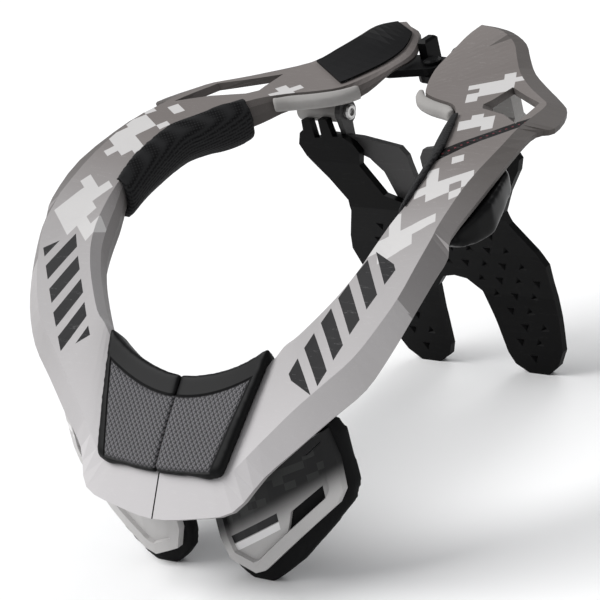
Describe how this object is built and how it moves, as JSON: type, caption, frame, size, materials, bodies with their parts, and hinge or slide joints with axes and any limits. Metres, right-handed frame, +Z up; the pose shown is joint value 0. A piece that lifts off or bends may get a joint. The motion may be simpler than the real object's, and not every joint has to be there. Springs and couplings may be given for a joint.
{
  "type": "motocross neck brace",
  "caption": "Rigid hinged collar that rings the neck, with foam pads, chest plates and a back strut; it stands on the chest plates and the strut.",
  "frame": {"origin": "centre of the footprint on the floor, under the four feet, at the bottom of the bounding box", "axes": "+X towards the wearer's left, -Y towards the chest, +Y towards the back, +Z up"},
  "size_m": [0.2776, 0.2952, 0.1938],
  "materials": {
    "collar_grey": "satin moulded plastic, light warm grey in front turning brown-grey behind",
    "pad_black": "matt moulded foam",
    "weave_grey": "diagonal weave",
    "cushion_black": "foam covered in fine mesh",
    "rubber_grey": "smooth grey rubber",
    "bracket_grey": "smooth grey plastic",
    "plastic_black": "satin black plastic",
    "yoke_grey": "satin dark grey plastic",
    "steel": "zinc plated screw",
    "shell_grey": "satin light grey plastic"
  },
  "bodies": {
    "right_half": {"collar_right": "collar_grey", "front_pad_right": "pad_black", "front_weave_right": "weave_grey", "shoulder_pad_right": "cushion_black", "rear_bumper_right": "rubber_grey", "bracket_right": "bracket_grey", "link_leaf_right": "plastic_black", "chest_shell_right": "shell_grey", "chest_foam_right": "cushion_black", "chest_arm_right": "plastic_black", "badge_panel": "plastic_black", "link_pin": "plastic_black"},
    "left_half": {"collar_left": "collar_grey", "front_pad_left": "pad_black", "front_weave_left": "weave_grey", "shoulder_pad_left": "cushion_black", "rear_bumper_left": "rubber_grey", "bracket_left": "bracket_grey", "link_leaf_left": "plastic_black", "chest_shell_left": "shell_grey", "chest_foam_left": "cushion_black", "chest_arm_left": "plastic_black"},
    "back_strut": {"thoracic_strut": "plastic_black", "thoracic_yoke": "yoke_grey", "yoke_bolt": "steel"}
  },
  "joints": [
    {"name": "collar_swing", "type": "hinge", "parent": "right_half", "child": "left_half", "pos_m": [0, 0.13, 0.174], "axis": [0, 0, 1], "range_deg": [0, 35]},
    {"name": "strut_tilt", "type": "hinge", "parent": "right_half", "child": "back_strut", "pos_m": [0, 0.1025, 0.157], "axis": [1, 0, 0], "range_deg": [-8, 8]}
  ]
}
